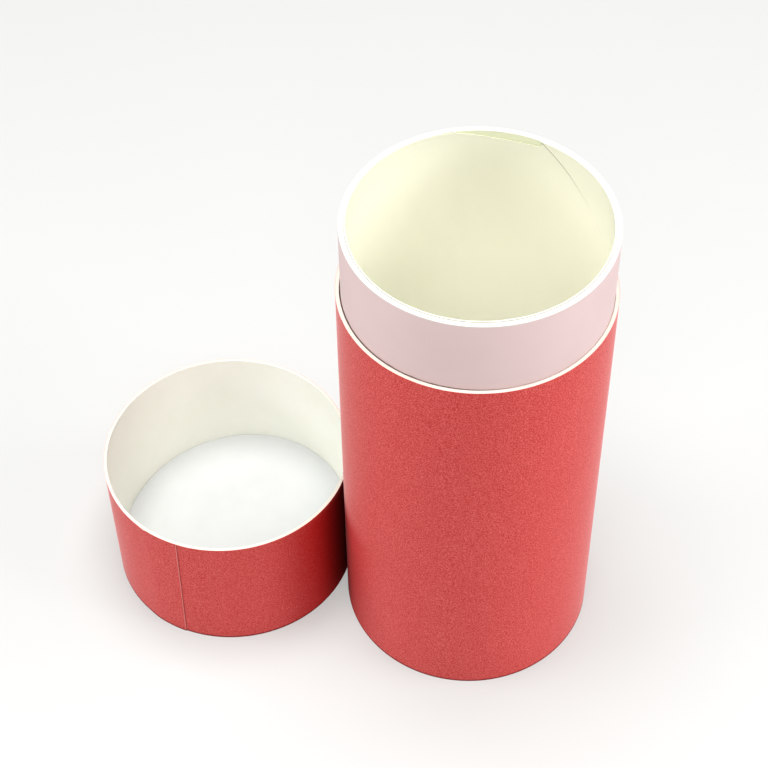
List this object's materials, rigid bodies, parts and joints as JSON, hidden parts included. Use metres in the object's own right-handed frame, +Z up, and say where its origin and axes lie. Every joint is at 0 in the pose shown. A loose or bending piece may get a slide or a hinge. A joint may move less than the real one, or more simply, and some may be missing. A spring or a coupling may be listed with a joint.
{
  "type": "paper tube with push-on lid",
  "caption": "Round board tube wrapped in red paper, with a plain white neck standing out of it and its push-on lid lying upside down beside it.",
  "frame": {"origin": "on the table, halfway between the axis of the tube and the axis of the lid", "axes": "+Z up along the tube, +X from the lid towards the tube"},
  "size_m": [0.1403, 0.07, 0.1479],
  "materials": {
    "board": "matte board, cut edge cream",
    "red_paper": "matte red paper with a fine pale fleck",
    "white_paper": "smooth white paper over board",
    "liner_paper": "smooth cream paper",
    "disc_paper": "smooth white paper over board"
  },
  "bodies": {
    "root": {"body_sleeve_board": "board", "body_red_wrap": "red_paper", "body_base_disc": "disc_paper", "body_neck_tube": "white_paper", "body_liner": "liner_paper", "lid_sleeve_board": "board", "lid_red_wrap": "red_paper", "lid_disc": "disc_paper"}
  },
  "joints": []
}
